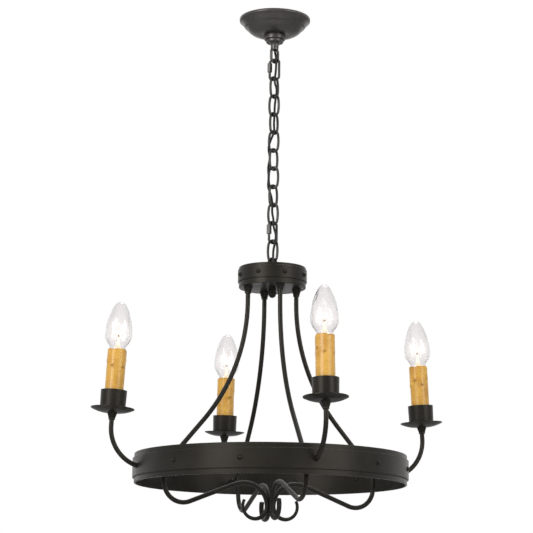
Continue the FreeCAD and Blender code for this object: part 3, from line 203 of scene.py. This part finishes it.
def round_tube(name, places, radius, sides=5):
    """A closed round tube along the places, as a mesh object."""
    curve = bpy.data.curves.new(name, "CURVE")
    curve.dimensions = "3D"
    curve.bevel_depth = radius
    curve.bevel_resolution = sides
    curve.use_fill_caps = True
    spline = curve.splines.new("POLY")
    spline.points.add(len(places) - 1)
    for point, place in zip(spline.points, places):
        point.co = (*place, 1.0)
    holder = bpy.data.objects.new(name + "_line", curve)
    mesh = bpy.data.meshes.new_from_object(holder)
    bpy.data.objects.remove(holder)
    mesh.name = name
    build = bmesh.new()
    build.from_mesh(mesh)
    bmesh.ops.remove_doubles(build, verts=build.verts, dist=1e-7)
    bmesh.ops.recalc_face_normals(build, faces=build.faces)
    build.to_mesh(mesh)
    build.free()
    mesh.shade_smooth()
    piece = bpy.data.objects.new(name, mesh)
    bpy.context.scene.collection.objects.link(piece)
    return piece


def new_group(name, wanted, given):
    """An empty effect group with named inputs and outputs."""
    group = bpy.data.node_groups.new(name, "ShaderNodeTree")
    kinds = {"v": "NodeSocketVector", "f": "NodeSocketFloat", "c": "NodeSocketColor"}
    for label, kind in wanted:
        group.interface.new_socket(label, in_out="INPUT", socket_type=kinds[kind])
    for label, kind in given:
        group.interface.new_socket(label, in_out="OUTPUT", socket_type=kinds[kind])
    way_in = group.nodes.new("NodeGroupInput")
    way_out = group.nodes.new("NodeGroupOutput")
    return group, way_in.outputs, way_out.inputs


def make_skin_group():
    """A skin's fine grain and soft clouds: one colour drifting into another, gloss and height."""
    group, given, made = new_group(
        "cloudy_skin",
        [("Vector", "v"), ("Grain Scale", "f"), ("Cloud Scale", "f"), ("Dark", "c"), ("Light", "c"),
         ("Gloss Low", "f"), ("Gloss High", "f")],
        [("Color", "c"), ("Roughness", "f"), ("Height", "f")],
    )
    grain = put(group, "TexNoise", Vector=given["Vector"], Scale=given["Grain Scale"], Detail=3.0)
    cloud = put(group, "TexNoise", Vector=given["Vector"], Scale=given["Cloud Scale"], Detail=4.0)
    spread = put(group, "MapRange", Value=cloud.outputs["Fac"], From_Min=0.36, From_Max=0.64)
    tint = put(group, "MixRGB", Fac=spread.outputs[0], Color1=given["Dark"], Color2=given["Light"])
    fine = sum_of(group, "MULTIPLY_ADD", grain.outputs["Fac"], 0.5)
    fine.node.inputs[2].default_value = 0.75
    lit = put(group, "VectorMath", {"operation": "SCALE"}, Scale=fine)
    group.links.new(tint.outputs[0], lit.inputs[0])
    gloss = put(group, "MapRange", Value=cloud.outputs["Fac"], From_Min=0.3, From_Max=0.7,
                To_Min=given["Gloss Low"], To_Max=given["Gloss High"])
    group.links.new(lit.outputs[0], made["Color"])
    group.links.new(gloss.outputs[0], made["Roughness"])
    group.links.new(grain.outputs["Fac"], made["Height"])
    return group


skin_group = make_skin_group()


def new_finish(name):
    """A material with a Principled surface, its tree and its place on the piece."""
    finish = bpy.data.materials.new(name)
    finish.use_nodes = True
    finish.node_tree.nodes.clear()
    tree = finish.node_tree
    surface = put(tree, "BsdfPrincipled")
    put(tree, "OutputMaterial", Surface=surface.outputs[0])
    place = put(tree, "TexCoord").outputs["Object"]
    return finish, tree, surface, place


def cloudy(tree, surface, place, grain, cloud, dark, light, gloss, bump):
    """Wires the skin group to a surface and gives the group node back."""
    skin = put(tree, "Group", {"node_tree": skin_group}, Vector=place, Grain_Scale=grain,
               Cloud_Scale=cloud, Dark=(*dark, 1.0), Light=(*light, 1.0), Gloss_Low=gloss[0],
               Gloss_High=gloss[1])
    tree.links.new(skin.outputs["Color"], surface.inputs["Base Color"])
    tree.links.new(skin.outputs["Roughness"], surface.inputs["Roughness"])
    raised = put(tree, "Bump", Height=skin.outputs["Height"], Strength=bump[0], Distance=bump[1])
    tree.links.new(raised.outputs[0], surface.inputs["Normal"])
    return skin


cord_cover, tree, surface, place = new_finish("cord_cover")
surface.inputs["Specular IOR Level"].default_value = 0.2
cloudy(tree, surface, place, 900.0, 60.0, (0.006, 0.006, 0.006), (0.010, 0.010, 0.010),
       (0.34, 0.46), (0.25, 0.00012))

cord_places = cord_line(CORD_TURNS)
cuts = [FIRST_HINGE - LINK_PITCH * (number + 0.5) for number in range(len(CHAIN_BODIES) - 2)]
for number, (above, below) in enumerate(zip(CHAIN_BODIES, CHAIN_BODIES[1:])):
    high = cuts[number - 1] if number else 1.0
    low = cuts[number] if number < len(cuts) else -1.0
    inside = [index for index, spot in enumerate(cord_places) if low <= spot.z <= high]
    first, last = max(0, inside[0] - 1), min(len(cord_places), inside[-1] + 2)
    stretch = round_tube(f"cord_stretch_{number + 1}", cord_places[first:last], CORD_DIAMETER / 2)
    stretch.data.materials.append(cord_cover)
    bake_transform(stretch)
    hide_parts("supply_cord")


# ---------------------------------------------------------------- crossbar, nipple and lock nuts
# The pressed steel bar that is screwed to the ceiling box, the threaded nipple that carries the
# whole weight and its two nuts. All three are zinc plated, which gives a bluish spangled grey.

zinc, tree, surface, place = new_finish("zinc_plate")
surface.inputs["Metallic"].default_value = 1.0
cloudy(tree, surface, place, 700.0, 90.0, (0.22, 0.23, 0.25), (0.36, 0.37, 0.40), (0.34, 0.52),
       (0.2, 0.0001))


def dress(finish, *names):
    """Gives CAD nodes a finish."""
    for name in names:
        for carried in nodes[name].material_slots:
            carried.material = finish


dress(zinc, "crossbar", "canopy_nipple", "nipple_lock_nuts", "hub_coupling", "hub_stem", "hub_nuts")


# ---------------------------------------------------------------- canopy, collar and loop
# The spun steel canopy that hides the ceiling box, the screw ring that holds it up and the cast
# loop that the chain hangs from, all sprayed in the same satin pewter-grey enamel.

pewter, tree, surface, place = new_finish("pewter_enamel")
surface.inputs["Metallic"].default_value = 0.55
surface.inputs["Specular IOR Level"].default_value = 0.3
cloudy(tree, surface, place, 1500.0, 28.0, (0.056, 0.052, 0.049), (0.075, 0.070, 0.067),
       (0.27, 0.36), (0.05, 0.00001))
dress(pewter, "canopy_collar", "canopy_loop")


def spun(name, outline, steps, closed=True):
    """A bmesh turned about Z from an outline of radius and height, its doubles merged."""
    build = bmesh.new()
    corners = [build.verts.new((radius, 0.0, height)) for radius, height in outline]
    pairs = list(zip(corners, corners[1:]))
    if closed:
        pairs.append((corners[-1], corners[0]))
    edges = [build.edges.new(pair) for pair in pairs]
    bmesh.ops.spin(build, geom=corners + edges, axis=(0, 0, 1), cent=(0, 0, 0),
                   angle=2 * math.pi, steps=steps, use_merge=True)
    bmesh.ops.remove_doubles(build, verts=build.verts, dist=1e-7)
    bmesh.ops.recalc_face_normals(build, faces=build.faces)
    return build


def placed(build, name, frame_of_piece, finish):
    """Turns a finished bmesh into a smooth object in its place."""
    build.transform(frame_of_piece)
    mesh = bpy.data.meshes.new(name)
    build.to_mesh(mesh)
    build.free()
    mesh.shade_smooth()
    mesh.materials.append(finish)
    piece = bpy.data.objects.new(name, mesh)
    bpy.context.scene.collection.objects.link(piece)
    return piece


CANOPY_WALL = 0.0012
CANOPY_BOWL = [
    (0.0635, 0.0), (0.0635, -0.0036), (0.0632, -0.0044), (0.0625, -0.0050), (0.0614, -0.0056),
    (0.0600, -0.0069), (0.0586, -0.0087), (0.0572, -0.0106), (0.0559, -0.0124), (0.0549, -0.0136),
    (0.0545, -0.0145), (0.0538, -0.0153), (0.0528, -0.0157), (0.0516, -0.0165), (0.0500, -0.0184),
    (0.0480, -0.0209), (0.0455, -0.0233), (0.0425, -0.0255), (0.0390, -0.0273), (0.0350, -0.0286),
    (0.0305, -0.0296), (0.0260, -0.0301), (0.0225, -0.0300), (0.0190, -0.0296), (0.0134, -0.0296),
]


def inset(outline, wall):
    """The same outline, moved in by the wall's thickness."""
    moved = []
    for index, spot in enumerate(outline):
        before = Vector(outline[max(0, index - 1)])
        after = Vector(outline[min(len(outline) - 1, index + 1)])
        along = (after - before).normalized()
        moved.append((spot[0] + along.y * wall, spot[1] - along.x * wall))
    return moved


canopy = placed(spun("canopy", CANOPY_BOWL + inset(CANOPY_BOWL, CANOPY_WALL)[::-1], 160),
                "canopy_bowl", Matrix.Identity(4), pewter)
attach(canopy, "canopy_body")
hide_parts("canopy")


# ---------------------------------------------------------------- chain and quick links
# Oval links of round wire and two quick links with sleeve nuts, in blackened steel with a fine
# grain and soft clouds.

chain_steel, tree, surface, place = new_finish("blackened_steel")
surface.inputs["Metallic"].default_value = 0.5
surface.inputs["Specular IOR Level"].default_value = 0.3
cloudy(tree, surface, place, 900.0, 120.0, (0.018, 0.017, 0.015), (0.045, 0.042, 0.038),
       (0.20, 0.34), (0.3, 0.0002))
dress(chain_steel, "upper_quick_link", "upper_quick_link_nut", "lower_quick_link",
      "lower_quick_link_nut", *[f"chain_link_{number}" for number in range(1, 10)])


# ---------------------------------------------------------------- painted ironwork
# Hub, ring, tubes, scrolls, pans and cups are mild steel, riveted and welded together and then
# powder coated as one in a matt charcoal black with a very fine texture.

charcoal, tree, surface, place = new_finish("charcoal_coat")
surface.inputs["Specular IOR Level"].default_value = 0.16
surface.inputs["Specular Tint"].default_value = (1.0, 0.92, 0.80, 1.0)
cloudy(tree, surface, place, 1300.0, 18.0, (0.0078, 0.0071, 0.0057), (0.0125, 0.0115, 0.0092),
       (0.28, 0.40), (0.35, 0.0002))
painted = ["hub_pan", "hub_cover", "hub_strap", "hub_loop", "hub_finial",
           "ring_band", "ring_strap", "tube_ferrules", "bobeches"]
for number in range(1, 5):
    painted += [f"arm_tube_{number}", f"scroll_{number}", f"candle_cup_{number}"]
dress(charcoal, *painted)


def rivet_row(name, seat, wall, height, turns):
    """One mesh of all the rivets of a strap: the domed heads outside, the flat tails inside."""
    outline = [(0.0, 0.0038), (0.0012, 0.0036), (0.0025, 0.0028), (0.0036, 0.0016),
               (0.0043, 0.0004), (0.0044, -0.0001), (0.0020, -0.0001), (0.0020, -wall),
               (0.0032, -wall), (0.0032, -wall - 0.0011), (0.0, -wall - 0.0011)]
    row = bmesh.new()
    for turn in turns:
        single = spun("rivet", outline, 24, False)
        single.transform(Matrix.Rotation(math.radians(turn), 4, "Z")
                         @ Matrix.Translation((seat, 0.0, height))
                         @ Matrix.Rotation(math.radians(90), 4, "Y"))
        shape = bpy.data.meshes.new("rivet")
        single.to_mesh(shape)
        single.free()
        row.from_mesh(shape)
        bpy.data.meshes.remove(shape)
    piece = placed(row, name, Matrix.Identity(4), charcoal)
    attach(piece, "fixture")
    return piece


hub_heads = rivet_row("hub_rivet_heads", 0.0605, 0.0033, -0.4730, [21 + 45 * k for k in range(8)])
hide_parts("hub_rivets")
ring_turns = [18 + 90 * k + away for k in range(4) for away in (-60, -30)]
ring_heads = rivet_row("ring_rivet_heads", 0.2370, 0.0060, -0.8115, ring_turns)
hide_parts("ring_rivets")


# ---------------------------------------------------------------- bushing and sockets
# The moulded bushing that guards the cord in the hub's lid, and the moulded socket shells that
# stand inside the candles.

moulded, tree, surface, place = new_finish("moulded_black")
cloudy(tree, surface, place, 800.0, 40.0, (0.013, 0.013, 0.014), (0.022, 0.022, 0.023),
       (0.40, 0.55), (0.2, 0.0001))
dress(moulded, "cord_bushing", "lamp_sockets")


# ---------------------------------------------------------------- candle sleeves
# Cast resin tubes the colour of old beeswax. Wax runs are modelled on them from the slumped rim
# down, each ending in a small bead with a brown stain.

SLEEVE_RADIUS = 0.0159
SLEEVE_BORE = 0.0145
SLEEVE_LOW = 0.0249
SLEEVE_TOP = 0.1300
FIRST_ARM_DEGREES = 18
ARM_LOW = -0.8365
CANDLE_SEAT = (0.282098, 0.0, 0.089932)
CANDLE_LEAN_DEGREES = -3.25
RUNS = [(20, 33, 17, 0.9), (72, 22, 14, 0.7), (118, 38, 19, 0.8), (170, 27, 15, 0.9),
        (214, 35, 18, 0.7), (262, 24, 15, 0.9), (312, 31, 17, 0.8)]


def candle_frame(number):
    """The leaning frame of a candle: the end of its arm's bend, with Z along the candle."""
    turn = math.radians(FIRST_ARM_DEGREES - 90 + 90 * (number - 1))
    foot = Matrix.Translation((0.0, 0.0, ARM_LOW)) @ Matrix.Rotation(turn, 4, "Z")
    lean = Matrix.Rotation(math.radians(CANDLE_LEAN_DEGREES), 4, "Y")
    return foot @ Matrix.Translation(CANDLE_SEAT) @ lean


resin, tree, surface, place = new_finish("beeswax_resin")
skin = cloudy(tree, surface, place, 420.0, 45.0, (0.52, 0.265, 0.040), (0.68, 0.38, 0.072),
              (0.24, 0.36), (0.18, 0.0003))
stain = put(tree, "Attribute", {"attribute_name": "stain"})
browned = put(tree, "MixRGB", Fac=stain.outputs["Fac"], Color1=skin.outputs["Color"],
              Color2=(0.16, 0.055, 0.012, 1.0))
tree.links.new(browned.outputs[0], surface.inputs["Base Color"])
surface.inputs["Specular IOR Level"].default_value = 0.35
surface.inputs["Subsurface Weight"].default_value = 0.2
surface.inputs["Subsurface Radius"].default_value = (0.006, 0.003, 0.001)
surface.inputs["Subsurface Scale"].default_value = 1.0


def sleeve_outline(rings):
    """Outer wall from the foot up, the rounded rim and the plain bore."""
    straight = SLEEVE_TOP - 0.002
    rise = straight - SLEEVE_LOW
    wall = [(SLEEVE_RADIUS, SLEEVE_LOW + rise * k / rings) for k in range(rings + 1)]
    rim = [(SLEEVE_RADIUS - 0.0002, SLEEVE_TOP - 0.0009),
           (SLEEVE_RADIUS - 0.0007, SLEEVE_TOP - 0.0002),
           (SLEEVE_BORE + 0.0002, SLEEVE_TOP - 0.0002)]
    bore = [(SLEEVE_BORE, SLEEVE_TOP - 0.0008), (SLEEVE_BORE, SLEEVE_LOW)]
    return wall + rim + bore


def build_sleeve(number):
    """One candle sleeve with its wax runs; each is turned so that no two look alike."""
    build = spun("sleeve", sleeve_outline(90), 120)
    layer = build.verts.layers.float.new("stain")
    for vertex in build.verts:
        spot = vertex.co
        around = math.degrees(math.atan2(spot.y, spot.x)) % 360
        reach = math.hypot(spot.x, spot.y)
        depth = (SLEEVE_TOP - spot.z) * 1000
        slump = 0.5 + 0.5 * math.sin(math.radians(3 * around + 70 * number))
        stained = 0.0
        if reach > SLEEVE_RADIUS - 0.001:
            proud = 0.00012 * math.sin(math.radians(2 * around + 9 * depth * 0.4))
            for turn, length, width, thick in RUNS:
                away = (around - turn - 25 * number + 180) % 360 - 180
                across = math.exp(-((away / width) ** 2))
                down = 1 / (1 + math.exp((depth - length) / 1.1))
                bead = math.exp(-(((depth - length + 3.0) / 3.2) ** 2))
                proud += 0.001 * thick * across * down * (0.45 + 0.65 * bead)
                tip = math.exp(-(((depth - length + 1.0) / 2.2) ** 2))
                stained = max(stained, 0.75 * tip * math.exp(-((away / (width * 0.5)) ** 2)))
            scale = (reach + proud * min(1.0, depth / 2.0)) / reach
            spot.x *= scale
            spot.y *= scale
            stained = max(stained, 0.6 * slump * math.exp(-depth / 1.6))
        if depth < 6:
            spot.z -= 0.0016 * slump * slump * (1 - depth / 6)
        vertex[layer] = min(1.0, stained)
    piece = placed(build, f"wax_sleeve_{number}", candle_frame(number), resin)
    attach(piece, "fixture")
    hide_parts(f"candle_sleeve_{number}")


for number in range(1, 5):
    build_sleeve(number)


# ---------------------------------------------------------------- flame bulbs
# Blown clear glass with a twisted, fluted wall over a nickel plated screw cap. Inside, a glass
# stem holds two wires and a coiled filament that glows. The glass and the stem carry a painted
# glow.

OUTER_GLASS = [
    (0.01300, 0.1230), (0.01300, 0.1300), (0.01395, 0.1338), (0.01560, 0.1367), (0.01730, 0.1390),
    (0.01950, 0.1419), (0.02160, 0.1459), (0.02290, 0.1500), (0.02320, 0.1535), (0.02318, 0.1575),
    (0.02270, 0.1640), (0.02165, 0.1720), (0.01990, 0.1805), (0.01770, 0.1880), (0.01500, 0.1955),
    (0.01190, 0.2020), (0.00925, 0.2065), (0.00690, 0.2093), (0.00430, 0.2113), (0.00170, 0.2123),
    (0.0, 0.2125),
]
GLASS_WALL = 0.0009
BULB_JOINT = 0.1230
FLUTES = 9
FLUTE_DEPTH = 0.00030
FLUTED_LOW = 0.131
FLUTED_HIGH = 0.211
STEM = [
    (0.0, 0.1262), (0.0098, 0.1262), (0.0074, 0.1285), (0.0046, 0.1330), (0.0032, 0.1400),
    (0.0024, 0.1450), (0.0014, 0.1490), (0.0013, 0.1505), (0.0017, 0.1520), (0.0015, 0.1540),
    (0.0, 0.1550),
]
COIL_STEPS = 240
COIL_WINDINGS = 20
COIL_LENGTH = 0.020
COIL_RADIUS = 0.0006

clear_glass, tree, surface, place = new_finish("fluted_glass")
surface.inputs["Transmission Weight"].default_value = 1.0
surface.inputs["IOR"].default_value = 1.42
surface.inputs["Specular IOR Level"].default_value = 0.35
ripple = put(tree, "TexNoise", Vector=place, Scale=110.0, Detail=1.0)
streak = put(tree, "Bump", Height=ripple.outputs["Fac"], Strength=0.16, Distance=0.0006)
tree.links.new(streak.outputs[0], surface.inputs["Normal"])
breath = put(tree, "MapRange", Value=ripple.outputs["Fac"], To_Min=0.03, To_Max=0.12)
tree.links.new(breath.outputs[0], surface.inputs["Roughness"])
# The glass is a light grey tint, painted darker towards its outline as painted shade at its edges.
rim = put(tree, "LayerWeight", Blend=0.38)
tint = put(tree, "MixRGB", Fac=rim.outputs["Facing"], Color1=(0.922, 0.903, 0.900, 1.0),
           Color2=(0.72, 0.71, 0.72, 1.0))
tree.links.new(tint.outputs[0], surface.inputs["Base Color"])
# A painted warm glow on the glass, strongest round the filament's height and where the glass faces
# the viewer.
painted_glow_band = put(tree, "Attribute", {"attribute_name": "painted_glow_band"})
toward = sum_of(tree, "SUBTRACT", 1.0, rim.outputs["Facing"], clamp=True)
painted_glow_amount = sum_of(tree, "MULTIPLY", painted_glow_band.outputs["Fac"], sum_of(tree, "POWER", toward, 3.0))
surface.inputs["Emission Color"].default_value = (1.0, 0.93, 0.80, 1.0)
tree.links.new(sum_of(tree, "MULTIPLY", painted_glow_amount, 0.05), surface.inputs["Emission Strength"])

glow, tree, surface, place = new_finish("hot_wire")
heat = put(tree, "TexNoise", Vector=place, Scale=500.0)
warm = put(tree, "MixRGB", Fac=heat.outputs["Fac"], Color1=(1.0, 0.80, 0.50, 1.0),
           Color2=(1.0, 0.90, 0.68, 1.0))
tree.links.new(warm.outputs[0], surface.inputs["Emission Color"])
surface.inputs["Emission Strength"].default_value = 6.0

stem_glass, tree, surface, place = new_finish("stem_glass")
surface.inputs["Transmission Weight"].default_value = 1.0
surface.inputs["IOR"].default_value = 1.5
seeds = put(tree, "TexNoise", Vector=place, Scale=600.0)
breath = put(tree, "MapRange", Value=seeds.outputs["Fac"], To_Min=0.10, To_Max=0.25)
tree.links.new(breath.outputs[0], surface.inputs["Roughness"])
# The stem's glass is painted with a warm glow through its emission, dark brown at its pressed tip.
press = put(tree, "Attribute", {"attribute_name": "press"})
stem_tone_and_painted_glow = put(tree, "MixRGB", Fac=press.outputs["Fac"], Color1=(1.0, 0.90, 0.72, 1.0),
             Color2=(0.25, 0.16, 0.08, 1.0))
tree.links.new(stem_tone_and_painted_glow.outputs[0], surface.inputs["Base Color"])
tree.links.new(stem_tone_and_painted_glow.outputs[0], surface.inputs["Emission Color"])
surface.inputs["Emission Strength"].default_value = 0.35

cap_nickel, tree, surface, place = new_finish("cap_nickel")
surface.inputs["Metallic"].default_value = 1.0
cloudy(tree, surface, place, 900.0, 130.0, (0.46, 0.44, 0.40), (0.62, 0.60, 0.56), (0.22, 0.40),
       (0.2, 0.0001))


def glass_outline():
    """The outer glass up to its tip, then the inner wall back down."""
    inner = []
    for radius, height in reversed(OUTER_GLASS[1:-1]):
        slope = min(1.0, max(0.0, (height - 0.175) / 0.037))
        wall = GLASS_WALL * (1 - 0.35 * slope)
        inner.append((max(0.0, radius - wall), height - GLASS_WALL * slope))
    peak = (0.0, OUTER_GLASS[-1][1] - GLASS_WALL)
    foot = (OUTER_GLASS[0][0] - GLASS_WALL, BULB_JOINT)
    return OUTER_GLASS + [peak] + inner + [foot]


def build_bulb(number):
    """The glass with its flutes, the stem, the wires and the filament of one bulb."""
    build = spun("glass", glass_outline(), 168)
    rising = [edge for edge in build.edges
              if abs(edge.verts[0].co.z - edge.verts[1].co.z) > 1e-5
              and all(vertex.co.xy.length > 1e-6 for vertex in edge.verts)]
    bmesh.ops.subdivide_edges(build, edges=rising, cuts=1, smooth=1.0,
                              smooth_falloff="LINEAR", use_grid_fill=True)
    # The band of painted glow on the glass, strongest at the filament's height.
    layer = build.verts.layers.float.new("painted_glow_band")
    for vertex in build.verts:
        spot = vertex.co
        vertex[layer] = math.exp(-(((spot.z - 0.162) / 0.020) ** 2))
        reach = math.hypot(spot.x, spot.y)
        if reach < 1e-5:
            continue
        up = (spot.z - FLUTED_LOW) / (FLUTED_HIGH - FLUTED_LOW)
        window = max(0.0, min(1.0, up * 6)) * max(0.0, min(1.0, (1 - up) * 5))
        around = math.atan2(spot.y, spot.x)
        wave = math.cos(FLUTES * (around + 1.5 * up))
        scale = (reach + FLUTE_DEPTH * window * (wave - 1)) / reach
        spot.x *= scale
        spot.y *= scale
    seat = candle_frame(number)
    glass = placed(build, f"bulb_flame_{number}", seat, clear_glass)
    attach(glass, f"bulb_{number}")
    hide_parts(f"bulb_glass_{number}")

    stem = spun("stem", STEM, 32, False)
    layer = stem.verts.layers.float.new("press")
    for vertex in stem.verts:
        vertex[layer] = max(0.0, min(1.0, (vertex.co.z - 0.1505) / 0.001))
    post = placed(stem, f"bulb_stem_{number}", seat, stem_glass)
    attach(post, f"bulb_{number}")

    coil = []
    for step in range(COIL_STEPS + 1):
        share = step / COIL_STEPS
        along = (share - 0.5) * COIL_LENGTH
        phase = share * 2 * math.pi * COIL_WINDINGS
        lift = 0.1600 - 12.0 * along * along
        coil.append(seat @ Vector((along, COIL_RADIUS * math.cos(phase),
                                   lift + COIL_RADIUS * math.sin(phase))))
    wire = round_tube(f"bulb_filament_{number}", coil, 0.00016, 1)
    wire.data.materials.append(glow)
    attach(wire, f"bulb_{number}")
    for side, name in ((-1, "left"), (1, "right")):
        route = [(0.0026 * side, 0.0, 0.1400), (0.0030 * side, 0.0, 0.1480),
                 (0.0100 * side, 0.0, 0.1588)]
        places = [seat @ Vector(spot) for spot in route]
        lead = round_tube(f"bulb_lead_{name}_{number}", places, 0.00028, 2)
        lead.data.materials.append(cap_nickel)
        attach(lead, f"bulb_{number}")


for number in range(1, 5):
    build_bulb(number)
    dress(cap_nickel, f"bulb_base_{number}")
